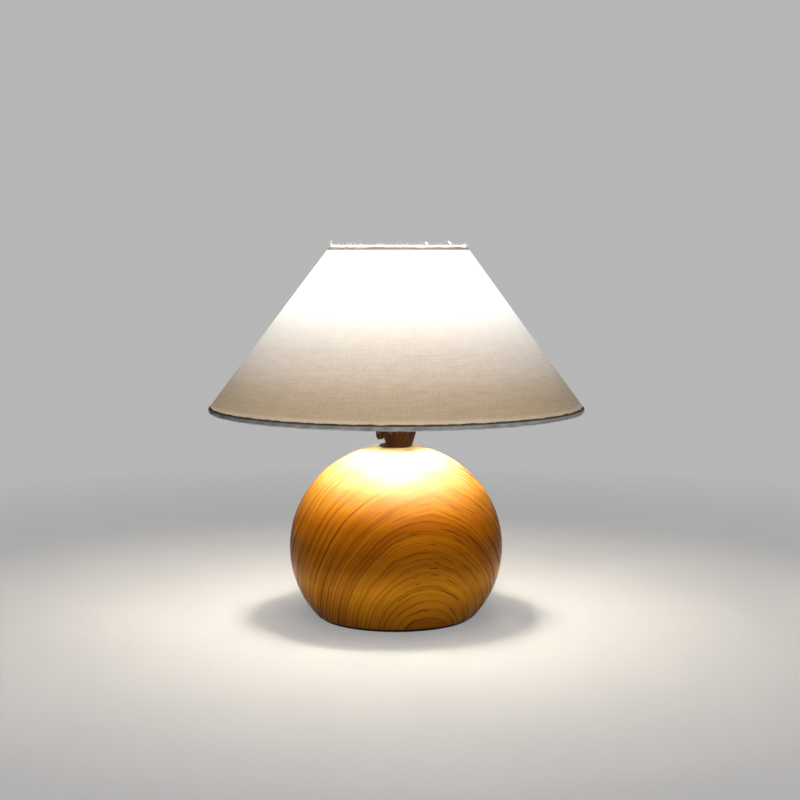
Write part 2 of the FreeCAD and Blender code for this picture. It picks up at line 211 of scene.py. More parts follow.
def buildWorld():
    world = bpy.data.worlds.new("world")
    scene.world = world
    world.use_nodes = True
    tree = world.node_tree
    back = tree.nodes["Background"]
    back.inputs["Color"].default_value = (1, 1, 1, 1)
    path = lightPath(tree)
    level = mapped(tree, path["Is Camera Ray"], (0.0, 1.0),
                   (stageLook["worldFill"], stageLook["backLevel"]))
    dim = plusTimes(tree, path["Is Glossy Ray"], -stageLook["mirrorDim"], 1.0)
    tree.links.new(times(tree, level, dim), back.inputs["Strength"])


def buildKey():
    lamp = bpy.data.lights.new("key", "AREA")
    lamp.energy = stageLook["keyWatts"]
    lamp.size = stageLook["keySize"]
    key = bpy.data.objects.new("key", lamp)
    key.location = stageLook["keyPlace"]
    aim = Vector(stageLook["keyAim"]) - key.location
    key.rotation_euler = aim.to_track_quat("-Z", "Y").to_euler()
    key.visible_camera = False
    key.visible_glossy = False
    scene.collection.objects.link(key)


buildFloor()
buildWorld()
buildKey()
print("stage built")


# sizes read from the frame
def wireRing(nodeName):
    low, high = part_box(nodeName)
    wire = (high.z - low.z) / 2
    return {"z": (low.z + high.z) / 2, "wire": wire, "radius": high.x - wire}


hemLow = wireRing("bottom_wire")
hemTop = wireRing("top_wire")
ballMiddle = {"radius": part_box("ball_body")[1].x, "z": 0.0472}
slope = (hemLow["radius"] - hemTop["radius"]) / (hemTop["z"] - hemLow["z"])
slantPerRise = math.hypot(1.0, slope)
coneSine = slope / slantPerRise
print("hem radii", round(hemLow["radius"], 4), round(hemTop["radius"], 4), "slope", round(slope, 3))


# a tube of quads, closed both ways; each row has its material, and "cut" is its flat map
def wrapGrid(name, points, uv, rowSlots, materials):
    columns, rows = points.shape[:2]
    here = np.arange(columns * rows).reshape(columns, rows)
    right = np.roll(here, -1, axis=0)
    faces = np.stack([here, right, np.roll(right, -1, axis=1), np.roll(here, -1, axis=1)], axis=-1)
    mesh = bpy.data.meshes.new(name)
    mesh.from_pydata(points.reshape(-1, 3).tolist(), [], faces.reshape(-1, 4).tolist())
    corners = np.stack([uv[:-1, :-1], uv[1:, :-1], uv[1:, 1:], uv[:-1, 1:]], axis=2)
    layer = mesh.uv_layers.new(name="cut")
    layer.data.foreach_set("uv", corners.ravel())
    slots = np.tile(np.asarray(rowSlots, dtype=np.int32), columns)
    mesh.polygons.foreach_set("material_index", slots)
    mesh.polygons.foreach_set("use_smooth", np.ones(columns * rows, dtype=bool))
    for made in materials:
        mesh.materials.append(made)
    work = bmesh.new()
    work.from_mesh(mesh)
    bmesh.ops.recalc_face_normals(work, faces=work.faces)
    work.to_mesh(mesh)
    work.free()
    made = bpy.data.objects.new(name, mesh)
    scene.collection.objects.link(made)
    return made


def waves(turn, seed, count, strength, highest):
    draw = np.random.default_rng(seed)
    total = np.zeros_like(turn)
    for _ in range(count):
        order = draw.integers(2, highest)
        total += draw.normal() * np.sin(order * turn + draw.uniform(0, 2 * math.pi)) / count ** 0.5
    return total * strength


# shade cloth, a cone with a glued lap at the back; the turn starts at the back
# lapStep, lapEdge and lapClear are in radians, and all other lengths in metres
skinCut = {"columns": 288, "rows": 40, "thick": 0.0006, "outset": 0.0023, "lowTrim": 0.00195,
           "topTrim": 0.0005, "lapWidth": 0.008, "lapRise": 0.00035, "lapStep": 0.0012,
           "lapEdge": 0.0005, "lapClear": 0.004, "lean": 0.0117, "aside": 0.0003,
           "ripple": {"seed": 4, "count": 9, "strength": 0.00018, "highest": 13},
           "ragged": {"seed": 9, "count": 24, "strength": 0.00022, "highest": 130},
           "raggedRise": 0.004}
skinLow = hemLow["z"] + skinCut["lowTrim"]
skinHigh = hemTop["z"] - skinCut["topTrim"]


def leanAt(z):
    return skinCut["aside"] + skinCut["lean"] * (z - hemLow["z"])


def skinRadius(z):
    return hemLow["radius"] - slope * (z - hemLow["z"]) + skinCut["outset"]


def buildSkin(outside, inside):
    rows = skinCut["rows"]
    lapTurn = skinCut["lapWidth"] / hemLow["radius"]
    step = skinCut["lapStep"]
    turn = np.linspace(0, 2 * math.pi, skinCut["columns"], endpoint=False)
    turn = turn[turn > lapTurn + skinCut["lapClear"]]
    lapColumns = [0.0, step, lapTurn / 3, lapTurn * 2 / 3, lapTurn - step, lapTurn]
    turn = np.sort(np.concatenate([turn, lapColumns]))
    onLap = (turn > skinCut["lapEdge"]) & (turn < lapTurn - skinCut["lapEdge"])
    lap = np.where(onLap, skinCut["lapRise"], 0.0)
    # rows run up the outside and down the inside
    levels = np.linspace(skinLow, skinHigh, rows)
    rowZ = np.concatenate([levels, levels[::-1]])
    rowIn = np.concatenate([np.zeros(rows), np.ones(rows)]) * skinCut["thick"] * slantPerRise
    z = np.tile(rowZ, (len(turn), 1))
    ragged = waves(turn, **skinCut["ragged"])[:, None]
    z += ragged * np.clip(1 - (z - skinLow) / skinCut["raggedRise"], 0.0, 1.0)
    rise = (z - skinLow) / (skinHigh - skinLow)
    ripple = waves(turn, **skinCut["ripple"])[:, None] * np.sin(math.pi * rise)
    radius = skinRadius(z) + ripple - rowIn + np.where(rowIn > 0, 0.0, lap[:, None])
    points = np.stack([radius * np.sin(turn)[:, None] + leanAt(z),
                       radius * np.cos(turn)[:, None], z], axis=-1)
    # flat cut, a sector about the cone's tip
    tip = hemLow["z"] + (hemLow["radius"] + skinCut["outset"]) / slope
    slant = (tip - np.append(rowZ, rowZ[0]))[None, :] * slantPerRise
    angle = (np.append(turn, 2 * math.pi)[:, None] - math.pi) * coneSine
    uv = np.stack([slant * np.sin(angle), slant * np.cos(angle)], axis=-1)
    rowSlots = [0] * rows + [1] * (rows - 1) + [0]
    made = wrapGrid("shadeCloth", points, uv, rowSlots, [outside, inside])
    return made, float(slant.min()), float(slant.max())


# rolled hems, tubes with an uneven lie
hemRoll = {"low": {"roll": 0.0020, "columns": 360, "rows": 16,
                   "uneven": {"seed": 11, "count": 14, "strength": 0.00012, "highest": 60}},
           "top": {"roll": 0.00145, "columns": 480, "rows": 16,
                   "uneven": {"seed": 12, "count": 14, "strength": 0.00007, "highest": 60}}}


def buildHem(name, ring, look, cloth):
    turn = np.linspace(0, 2 * math.pi, look["columns"], endpoint=False)
    around = np.linspace(0, 2 * math.pi, look["rows"], endpoint=False)
    roll = (look["roll"] + waves(turn, **look["uneven"]))[:, None]
    radius = ring["radius"] + roll * np.cos(around)
    z = ring["z"] + roll * np.sin(around)
    points = np.stack([radius * np.sin(turn)[:, None] + leanAt(z),
                       radius * np.cos(turn)[:, None], z], axis=-1)
    u = np.append(turn, 2 * math.pi) * ring["radius"]
    v = np.append(around, 2 * math.pi) * look["roll"]
    uv = np.stack(np.broadcast_arrays(u[:, None], v[None, :]), axis=-1)
    return wrapGrid(name, points, uv, [0] * look["rows"], [cloth])


# turned wood: rings about a slanting pith under the ball, with thin late lines and dark pores
# lengths are in ball radii; pace and weight of the pores grow from the left side to the right
woodLook = {
    "pith": (0.33, 0.705, -1.43), "along": (0.0130, 0.9739, 0.2268),
    "across": (-0.9984, 0.0, 0.0572), "up": (0.0557, -0.2272, 0.9723),
    "flatten": 0.503, "cone": 0.495, "fibre": 0.025, "innerField": 0.65, "sides": (-0.5, 0.5),
    "lineApart": 4.7, "lineStretch": 0.6,
    "bend": 0.06, "bendScale": 1.5, "bendDetail": 3.0, "wobble": 0.010, "wobbleScale": 9.0,
    "kink": (0.34, 0.58), "kinkWidth": (0.24, 0.20), "kinkRise": 0.046,
    "light": (0.530, 0.270, 0.030), "middle": (0.330, 0.135, 0.018),
    "dark": (0.165, 0.052, 0.008), "pore": (0.050, 0.011, 0.004),
    "broadScale": 11.0, "broadRough": 0.55, "streakScale": 60.0, "streakShare": 0.30,
    "groundSpan": (0.42, 0.92),
    "rings": {"count": 16.5, "inner": 11.5, "drift": 1.1, "driftScale": 6.0, "driftDetail": 2.0,
              "pace": 1.2, "limits": (0.38, 0.64), "weight": (0.75, 0.15), "fade": -0.45,
              "late": [(0.0, 0.0), (0.40, 0.10), (0.66, 0.45), (0.76, 1.0), (0.86, 1.0),
                       (0.94, 0.0)]},
    "poreLay": 0.6, "poreLayScale": 9.0, "poreHalf": 0.0028, "poreCore": 0.6, "poreSoft": 1.9,
    "pores": [{"count": 10.0, "inner": 6.0, "pace": (3.2, 1.3), "limits": (0.48, 0.58),
               "weight": (0.30, 0.42)},
              {"count": 21.0, "inner": 9.0, "pace": (0.0, 5.0), "limits": (0.53, 0.60),
               "weight": (0.80, 0.15)}],
    "paintedLightByHeight": [(0.26, (0.66, 0.50, 0.16)), (0.37, (0.88, 0.73, 0.26)), (0.47, (0.47, 0.32, 0.09)),
               (0.54, (0.41, 0.27, 0.07)), (0.59, (0.50, 0.33, 0.08)), (0.64, (0.58, 0.39, 0.10)),
               (0.69, (0.90, 0.60, 0.09)), (0.74, (1.0, 0.83, 0.20)), (0.80, (1.0, 0.90, 0.60)),
               (0.87, (0.95, 0.80, 1.0))],
    "paintedGlowTint": (1.0, 0.84, 0.46), "paintedGlowAt": [(0.80, 0.0), (0.88, 0.10), (0.965, 0.60)],
    "polish": (0.03, 0.90), "polishAt": (0.30, 0.62), "rough": (0.12, 0.22),
    "streakRelief": 0.25, "relief": 0.2, "depth": 0.0002}


def dot(tree, place, axis):
    return vectorMaths(tree, "DOT_PRODUCT", {0: place, 1: axis}, "Value")


def fallOff(tree, value, middle, width):
    distance = maths(tree, "ABSOLUTE", maths(tree, "SUBTRACT", value, middle))
    return mapped(tree, distance, (0.0, width), (1.0, 0.0))


# each line comes and goes along its length
def lineStrength(tree, phase, arc, along, pace, limits):
    apart = times(tree, maths(tree, "FLOOR", phase), woodLook["lineApart"])
    place = vectorOf(tree, apart, times(tree, arc, pace),
                     times(tree, along, times(tree, pace, woodLook["lineStretch"])))
    return mapped(tree, noiseAt(tree, place, 1.0, 1.0), limits)


def linePhase(tree, field, inner, look, drift, driftSize):
    phase = plusTimes(tree, field, look["count"], times(tree, drift, driftSize))
    return plusTimes(tree, inner, look["inner"], phase)


def ringField(tree, place):
    bend = addNode(tree, "ShaderNodeTexNoise", {"Vector": place, "Scale": woodLook["bendScale"],
                                                "Detail": woodLook["bendDetail"]})
    shift = vectorMaths(tree, "SUBTRACT", {0: bend.outputs["Color"], 1: (0.5, 0.5, 0.5)})
    moved = vectorMaths(tree, "MULTIPLY_ADD", {0: shift, 1: (woodLook["bend"],) * 3, 2: place})
    fromPith = vectorMaths(tree, "SUBTRACT", {0: moved, 1: woodLook["pith"]})
    along = dot(tree, fromPith, woodLook["along"])
    across = dot(tree, fromPith, woodLook["across"])
    up = times(tree, dot(tree, fromPith, woodLook["up"]), woodLook["flatten"])
    away = maths(tree, "SQRT", maths(tree, "ADD", times(tree, across, across),
                                     times(tree, up, up)))
    arc = times(tree, maths(tree, "ARCTAN2", across, up), away)
    field = plusTimes(tree, along, woodLook["cone"], away)
    # a small pointed kink, where the rings part round a knot
    parts = split(tree, place)
    near = times(tree, fallOff(tree, parts["X"], woodLook["kink"][0], woodLook["kinkWidth"][0]),
                 fallOff(tree, parts["Z"], woodLook["kink"][1], woodLook["kinkWidth"][1]))
    field = maths(tree, "SUBTRACT", field, times(tree, near, woodLook["kinkRise"]))
    wobble = maths(tree, "SUBTRACT", noiseAt(tree, place, woodLook["wobbleScale"], 1.0), 0.5)
    return plusTimes(tree, wobble, woodLook["wobble"], field), arc, along


def woodMaterial():
    made, tree, shader = newMaterial("turnedWood")
    place = addNode(tree, "ShaderNodeMapping", {
        "Vector": objectPlace(tree),
        "Location": (0, 0, -ballMiddle["z"] / ballMiddle["radius"]),
        "Scale": (1 / ballMiddle["radius"],) * 3}).outputs[0]
    parts = split(tree, place)
    rightward = mapped(tree, parts["X"], woodLook["sides"])
    field, arc, along = ringField(tree, place)
    inner = maths(tree, "MINIMUM", field, woodLook["innerField"])
    fibrePlace = vectorOf(tree, field, times(tree, arc, woodLook["fibre"]),
                          times(tree, along, woodLook["fibre"]))
    # growth rings: a broad tone, then many thin late lines that darken outwards
    broad = noiseAt(tree, fibrePlace, woodLook["broadScale"], 2.0, woodLook["broadRough"])
    streak = noiseAt(tree, fibrePlace, woodLook["streakScale"], 1.0)
    ground = plusTimes(tree, streak, woodLook["streakShare"], broad)
    body = ramp(tree, ground, [(woodLook["groundSpan"][0], woodLook["light"]),
                               (woodLook["groundSpan"][1], woodLook["middle"])])
    rings = woodLook["rings"]
    drift = noiseAt(tree, fibrePlace, rings["driftScale"], rings["driftDetail"])
    phase = linePhase(tree, field, inner, rings, drift, rings["drift"])
    late = ramp(tree, maths(tree, "FRACT", phase), rings["late"])
    strong = lineStrength(tree, phase, arc, along, rings["pace"], rings["limits"])
    weight = times(tree, plusTimes(tree, strong, *rings["weight"]),
                   plusTimes(tree, rightward, rings["fade"], 1.0))
    tint = mixed(tree, times(tree, late, weight), body, woodLook["dark"])
    # pores: long thin lines on the left, and short dark dashes on the right
    pore = 0.0
    lay = noiseAt(tree, fibrePlace, woodLook["poreLayScale"], 1.0)
    for look in woodLook["pores"]:
        phase = linePhase(tree, field, inner, look, lay, woodLook["poreLay"])
        core = look["count"] * woodLook["poreHalf"] * woodLook["poreCore"]
        soft = look["count"] * woodLook["poreHalf"] * woodLook["poreSoft"]
        thin = ramp(tree, maths(tree, "FRACT", phase), [
            (0.5 - soft, 0.0), (0.5 - core, 1.0), (0.5 + core, 1.0), (0.5 + soft, 0.0)])
        pace = plusTimes(tree, rightward, *look["pace"])
        broken = lineStrength(tree, phase, arc, along, pace, look["limits"])
        drawn = times(tree, times(tree, thin, broken), plusTimes(tree, rightward, *look["weight"]))
        pore = maths(tree, "MAXIMUM", pore, drawn)
    tint = mixed(tree, pore, tint, woodLook["pore"])
    # painted light and shade by height: darker round the middle, lighter low down, and much paler
    # with a painted cream glow towards the top, as lit by the shade above and the floor below
    height = mapped(tree, parts["Z"], (-1.0, 1.0))
    tint = mixed(tree, 1.0, tint, ramp(tree, height, woodLook["paintedLightByHeight"]), "MULTIPLY")
    tint = mixed(tree, ramp(tree, height, woodLook["paintedGlowAt"]), tint, woodLook["paintedGlowTint"])
    tree.links.new(tint, shader.inputs["Base Color"])
    polish = mapped(tree, parts["Z"], woodLook["polishAt"], woodLook["polish"])
    tree.links.new(polish, shader.inputs["Specular IOR Level"])
    tree.links.new(plusTimes(tree, streak, *woodLook["rough"]), shader.inputs["Roughness"])
    relief = maths(tree, "SUBTRACT", times(tree, streak, woodLook["streakRelief"]), pore)
    bumped(tree, shader, relief, woodLook["relief"], woodLook["depth"])
    return made


# woven cloth: threads at a fixed pitch on the flat cut, with slubs along both ways
# each slub layer is (stretch of its noise, share)
weaveLook = {"slubs": (((0.07, 1.0, 1.0), 0.20), ((1.0, 0.10, 1.0), 0.10),
                       ((0.16, 0.30, 1.0), 0.16), ((1.3, 2.2, 1.0), 0.54)),
             "slubDetail": 3.0, "slubsAcross": 4.0}


def weaveGroup():
    tree, given, done = newGroup("plainWeave", "ShaderNodeTree", (
        ("Vector", "Vector", None), ("Pitch", "Float", 0.0005), ("Slub Size", "Float", 0.004)),
        (("Height", "Float"), ("Slub", "Float")))
    cell = vectorMaths(tree, "SCALE", {
        0: given["Vector"], "Scale": maths(tree, "DIVIDE", math.pi, given["Pitch"])})
    parts = split(tree, cell)
    crossing = times(tree, maths(tree, "SINE", parts["X"]), maths(tree, "SINE", parts["Y"]))
    height = plusTimes(tree, crossing, 0.5, 0.5)
    scale = maths(tree, "DIVIDE", weaveLook["slubsAcross"], given["Slub Size"])
    slub = 0.0
    for stretch, share in weaveLook["slubs"]:
        long = vectorMaths(tree, "MULTIPLY", {0: given["Vector"], 1: stretch})
        streaks = noiseAt(tree, long, scale, weaveLook["slubDetail"])
        slub = plusTimes(tree, streaks, share, slub)
    tree.links.new(maths(tree, "ADD", height, slub), done["Height"])
    tree.links.new(slub, done["Slub"])
    return tree


weave = weaveGroup()


def cutPlace(tree):
    return addNode(tree, "ShaderNodeUVMap", uv_map="cut").outputs[0]


# the flat cut in polar form, so that the slubs run level round the cone
def roundPlace(tree):
    parts = split(tree, cutPlace(tree))
    slant = vectorMaths(tree, "LENGTH", {0: cutPlace(tree)}, "Value")
    angle = maths(tree, "ARCTAN2", parts["X"], parts["Y"])
    return vectorOf(tree, times(tree, angle, clothLook["meanSlant"]), slant)


def weaveAt(tree, place, pitch, slubSize):
    made = addNode(tree, "ShaderNodeGroup", {"Vector": place, "Pitch": pitch,
                                             "Slub Size": slubSize}, node_tree=weave)
    return made.outputs["Height"], made.outputs["Slub"]


# glow stands for the bulb's light through the cloth; its stops are (share of the rise, colour)
clothLook = {"pitch": 0.0005, "slub": 0.005, "meanSlant": 0.14,
             "tint": (0.505, 0.367, 0.221), "pale": (0.692, 0.528, 0.348),
             "slubSpan": (0.41, 0.59), "threadShare": 0.08, "slubShare": 0.85,
             "glow": [(0.0, (0.150, 0.125, 0.085)), (0.007, (0.215, 0.178, 0.125)),
                      (0.018, (0.060, 0.050, 0.040)), (0.027, (0.0, 0.0, 0.0)),
                      (0.08, (0.008, 0.008, 0.008)), (0.16, (0.070, 0.064, 0.062)),
                      (0.25, (0.182, 0.180, 0.192)), (0.385, (0.345, 0.352, 0.368)),
                      (0.52, (0.600, 0.620, 0.620)), (0.57, (0.720, 0.760, 0.760)),
                      (0.66, (0.900, 0.950, 1.000)), (0.984, (0.900, 0.950, 1.000)),
                      (0.993, (0.0, 0.0, 0.0))],
             "glowUneven": (0.12, 0.94), "relief": 0.35, "depth": 0.00012}
laminateLook = {"uneven": 0.16, "relief": 0.1, "depth": 0.0001, "behindGlow": (0.01, 0.01, 0.01),
                "tint": [(0.10, (0.14, 0.135, 0.12)), (0.42, (0.20, 0.195, 0.18)),
                         (0.80, (0.78, 0.77, 0.74))],
                "glow": [(0.05, (0.50, 0.43, 0.33)), (0.30, (0.68, 0.60, 0.48)),
                         (0.55, (0.84, 0.77, 0.64)), (0.85, (0.70, 0.63, 0.52)),
                         (1.05, (0.60, 0.54, 0.45))]}


def clothOutside():
    made, tree, shader = newMaterial("shadeClothOutside", Roughness=0.9, Sheen_Weight=0.15,
                                     Emission_Strength=1.0)
    height, slub = weaveAt(tree, roundPlace(tree), clothLook["pitch"], clothLook["slub"])
    slub = mapped(tree, slub, clothLook["slubSpan"])
    shade = plusTimes(tree, height, clothLook["threadShare"],
                      times(tree, slub, clothLook["slubShare"]))
    tint = mixed(tree, shade, clothLook["tint"], clothLook["pale"])
    tree.links.new(tint, shader.inputs["Base Color"])
    rise = mapped(tree, split(tree, objectPlace(tree))["Z"], (skinLow, skinHigh))
    glow = vectorMaths(tree, "SCALE", {0: ramp(tree, rise, clothLook["glow"]),
                                       "Scale": plusTimes(tree, slub, *clothLook["glowUneven"])})
    tree.links.new(glow, shader.inputs["Emission Color"])
    bumped(tree, shader, height, clothLook["relief"], clothLook["depth"])
    return made


def clothInside():
    made, tree, shader = newMaterial("shadeLaminateInside", Roughness=0.55)
    height, slub = weaveAt(tree, roundPlace(tree), clothLook["pitch"], clothLook["slub"])
    rise = mapped(tree, split(tree, objectPlace(tree))["Z"], (hemLow["z"], hemTop["z"]))
    rise = plusTimes(tree, slub, laminateLook["uneven"], rise)
    # lit far past white, so the eye is given a painted glow over the height instead, a level at
    # which the weave still shows; for other light the inside is darker towards the rim and paler
    # towards the top
    seen = lightPath(tree)["Is Camera Ray"]
    tint = mixed(tree, seen, ramp(tree, rise, laminateLook["tint"]), laminateLook["behindGlow"])
    tree.links.new(tint, shader.inputs["Base Color"])
    tree.links.new(ramp(tree, rise, laminateLook["glow"]), shader.inputs["Emission Color"])
    tree.links.new(seen, shader.inputs["Emission Strength"])
    bumped(tree, shader, height, laminateLook["relief"], laminateLook["depth"])
    return made


# cloth of the rolled hems: u runs along the roll, and v round it, from its outside over its top
# creaseAt and edgeAt are shares of the way round; "paler" is the change a metre to the right
# the lower roll's grey band is its cloth painted as in shade under cool light, paler to the right,
# with a painted shade line in its crease and a painted light line along its lower edge;
# the upper roll glows with painted light through its cloth, save a painted shadow of its wire
hemWeave = {"pitch": 0.0005, "slub": 0.003, "relief": 0.5, "depth": 0.0002}
hemLook = {
    "low": {"patch": {"scale": 90.0, "detail": 4.0, "roughness": 0.65},
            "patchFrom": (0.33, 0.67), "patchTo": (0.0, 1.0),
            "bandDark": (0.085, 0.087, 0.090), "bandPale": (0.400, 0.410, 0.415),
            "bandShare": (0.75, 0.20), "paler": 2.6,
            "creaseShade": (0.030, 0.023, 0.010), "creaseUneven": 0.05, "creaseFade": -0.25,
            "creaseAt": [(0.05, 0.0), (0.09, 1.0), (0.30, 1.0), (0.34, 0.0)],
            "edge": (0.500, 0.510, 0.510),
            "edgeAt": [(0.76, 0.0), (0.80, 1.0), (0.87, 1.0), (0.91, 0.0)]},
    "top": {"patch": {"scale": 70.0, "detail": 2.0, "roughness": 0.5},
            "patchFrom": (0.40, 0.62), "patchTo": (1.0, 0.55),
            "cloth": (0.80, 0.79, 0.76), "creaseShade": (0.11, 0.085, 0.045),
            "glow": (0.80, 0.78, 0.73), "creaseGlow": (0.01, 0.008, 0.004),
            "creaseAt": [(0.30, 0.0), (0.36, 1.0), (0.50, 1.0), (0.55, 0.0)]}}


def hemStart(name, where, **sockets):
    made, tree, shader = newMaterial(name, Roughness=0.9, **sockets)
    look = hemLook[where]
    height = weaveAt(tree, cutPlace(tree), hemWeave["pitch"], hemWeave["slub"])[0]
    parts = split(tree, cutPlace(tree))
    around = maths(tree, "DIVIDE", parts["Y"], 2 * math.pi * hemRoll[where]["roll"])
    patch = noiseAt(tree, vectorOf(tree, parts["X"]), **look["patch"])
    patchy = mapped(tree, patch, look["patchFrom"], look["patchTo"])
    return made, tree, shader, look, height, around, patchy


def hemClothLow():
    made, tree, shader, look, height, around, patchy = hemStart("bottomHemCloth", "low")
    # the band's colour is painted shade under cool light, paler towards the right
    aside = split(tree, objectPlace(tree))["X"]
    share = plusTimes(tree, aside, look["paler"], plusTimes(tree, patchy, *look["bandShare"]))
    tint = mixed(tree, share, look["bandDark"], look["bandPale"])
    # painted shade in the crease where the skin's edge meets the roll
    uneven = plusTimes(tree, maths(tree, "SUBTRACT", patchy, 0.5), look["creaseUneven"], around)
    creaseShade = times(tree, ramp(tree, uneven, look["creaseAt"]),
                   plusTimes(tree, patchy, look["creaseFade"], 1.0))
    tint = mixed(tree, creaseShade, tint, look["creaseShade"])
    # painted light along the roll's lower edge
    tint = mixed(tree, ramp(tree, around, look["edgeAt"]), tint, look["edge"])
    tree.links.new(tint, shader.inputs["Base Color"])
    bumped(tree, shader, maths(tree, "ADD", height, patchy), hemWeave["relief"],
           hemWeave["depth"])
    return made


def hemClothTop():
    made, tree, shader, look, height, around, patchy = hemStart(
        "topHemCloth", "top", Emission_Strength=1.0)
    opposite = maths(tree, "FRACT", maths(tree, "ADD", around, 0.5))
    # painted shadow of the wire inside the roll in its crease; the rest glows with painted light
    # through the cloth
    dark = times(tree, ramp(tree, opposite, look["creaseAt"]), patchy)
    tree.links.new(mixed(tree, dark, look["cloth"], look["creaseShade"]), shader.inputs["Base Color"])
    tree.links.new(mixed(tree, dark, look["glow"], look["creaseGlow"]),
                   shader.inputs["Emission Color"])
    bumped(tree, shader, height, hemWeave["relief"], hemWeave["depth"])
    return made


skin, nearSlant, farSlant = buildSkin(clothOutside(), clothInside())
bottomHem = buildHem("bottomHem", hemLow, hemRoll["low"], hemClothLow())
topHem = buildHem("topHem", hemTop, hemRoll["top"], hemClothTop())
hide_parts("shade_skin")
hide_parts("bottom_hem")
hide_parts("top_hem")
for piece, slotName in ((skin, "shade_fabric"), (bottomHem, "hem_fabric"), (topHem, "hem_fabric")):
    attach(piece, "shade")

# loose threads that stand out of cloth, grown on a host strip; bends are in thread lengths
threadForm = {"sides": 4, "steps": 5, "tip": 0.35, "patch": (0.42, 0.62), "shortest": 0.35,
              "sizePower": 1.8,
              "bends": (((0.10, 0.0, 0.45), (0.42, 0.06, 0.80)),
                        ((-0.22, 0.10, 0.50), (0.30, 0.16, 0.62)),
                        ((0.05, -0.06, 0.60), (0.12, 0.02, 1.0)))}


def threadShapes(tree, length, thickness):
    shapes = addNode(tree, "GeometryNodeGeometryToInstance")
    factor = addNode(tree, "GeometryNodeSplineParameter").outputs["Factor"]
    taper = mapped(tree, factor, (0.0, 1.0), (1.0, threadForm["tip"]))
    ring = addNode(tree, "GeometryNodeCurvePrimitiveCircle",
                   {"Resolution": threadForm["sides"], "Radius": thickness})
    for middle, end in threadForm["bends"]:
        curve = addNode(tree, "GeometryNodeCurveQuadraticBezier", {
            "Resolution": threadForm["steps"], "Start": (0, 0, 0),
            "Middle": vectorOf(tree, *[times(tree, length, v) for v in middle]),
            "End": vectorOf(tree, *[times(tree, length, v) for v in end])})
        thick = addNode(tree, "GeometryNodeSetCurveRadius",
                        {"Curve": curve.outputs[0], "Radius": taper})
        thread = addNode(tree, "GeometryNodeCurveToMesh",
                         {"Curve": thick.outputs[0], "Profile Curve": ring.outputs[0],
                          "Fill Caps": True})
        tree.links.new(thread.outputs[0], shapes.inputs[0])
    return shapes.outputs[0]


def looseThreadTree():
    tree, given, done = newGroup("looseThreads", "GeometryNodeTree", (
        ("Geometry", "Geometry", None), ("Per Square Metre", "Float", 60000.0),
        ("Length", "Float", 0.003), ("Thickness", "Float", 0.00006), ("Lean", "Float", 0.9),
        ("Clump Size", "Float", 0.006), ("Clumping", "Float", 0.5), ("Seed", "Int", 1),
        ("Material", "Material", None)), (("Geometry", "Geometry"),))

    def randomFloat(low, high, seed):
        made = addNode(tree, "FunctionNodeRandomValue", {2: low, 3: high}, data_type="FLOAT")
        tree.links.new(maths(tree, "ADD", given["Seed"], seed), made.inputs["Seed"])
        return made.outputs[1]

    def rotated(rotation, angles):
        return addNode(tree, "FunctionNodeRotateRotation", {
            "Rotation": rotation,
            "Rotate By": addNode(tree, "FunctionNodeEulerToRotation", {0: angles}).outputs[0]},
            rotation_space="LOCAL").outputs[0]

    shapes = threadShapes(tree, given["Length"], given["Thickness"])
    kinds = len(threadForm["bends"]) - 0.001
    place = addNode(tree, "GeometryNodeInputPosition").outputs[0]
    clumps = noiseAt(tree, place, maths(tree, "DIVIDE", 1.0, given["Clump Size"]), 1.0)
    bare = maths(tree, "SUBTRACT", 1.0, given["Clumping"])
    patch = mapped(tree, clumps, threadForm["patch"], (bare, 1.0))
    scatter = addNode(tree, "GeometryNodeDistributePointsOnFaces", {
        "Mesh": given["Geometry"], "Seed": given["Seed"],
        "Density": times(tree, given["Per Square Metre"], patch)}).outputs
    tilt = vectorOf(tree, times(tree, given["Lean"], randomFloat(-1.0, 1.0, 11)),
                    times(tree, given["Lean"], randomFloat(-1.0, 1.0, 12)))
    spin = vectorOf(tree, 0.0, 0.0, randomFloat(0.0, 2 * math.pi, 13))
    size = maths(tree, "POWER", randomFloat(threadForm["shortest"], 1.0, 14),
                 threadForm["sizePower"])
    grown = addNode(tree, "GeometryNodeInstanceOnPoints", {
        "Points": scatter["Points"], "Instance": shapes, "Pick Instance": True,
        "Instance Index": maths(tree, "FLOOR", randomFloat(0.0, kinds, 15)),
        "Rotation": rotated(rotated(scatter["Rotation"], spin), tilt),
        "Scale": vectorOf(tree, size, size, size)})
    real = addNode(tree, "GeometryNodeRealizeInstances", {0: grown.outputs[0]})
    dressed = addNode(tree, "GeometryNodeSetMaterial",
                      {"Geometry": real.outputs[0], "Material": given["Material"]})
    tree.links.new(dressed.outputs[0], done[0])
    return tree


def hostStrip(name, inner, outer, columns):
    turn = np.linspace(0, 2 * math.pi, columns + 1)
    rings = [np.stack([radius * np.sin(turn) + leanAt(z), radius * np.cos(turn),
                       np.full_like(turn, z)], axis=-1) for radius, z in (inner, outer)]
    second = columns + 1
    faces = [(k, k + 1, second + k + 1, second + k) for k in range(columns)]
    mesh = bpy.data.meshes.new(name)
    mesh.from_pydata(np.concatenate(rings).tolist(), [], faces)
    made = bpy.data.objects.new(name, mesh)
    scene.collection.objects.link(made)
    return made


def growThreads(name, host, tree, settings):
    modifier = host.modifiers.new("threads", "NODES")
    modifier.node_group = tree
    for socket in tree.interface.items_tree:
        if socket.in_out == "INPUT" and socket.name in settings:
            modifier[socket.identifier] = settings[socket.name]
    graph = bpy.context.evaluated_depsgraph_get()
    mesh = bpy.data.meshes.new_from_object(host.evaluated_get(graph))
    host.modifiers.clear()
    mesh.name = name
    made = bpy.data.objects.new(name, mesh)
    scene.collection.objects.link(made)
    bpy.data.objects.remove(host)
    print(name, len(mesh.polygons), "faces")
    return made


fleckLook = {"scale": 900.0, "dark": 0.8}


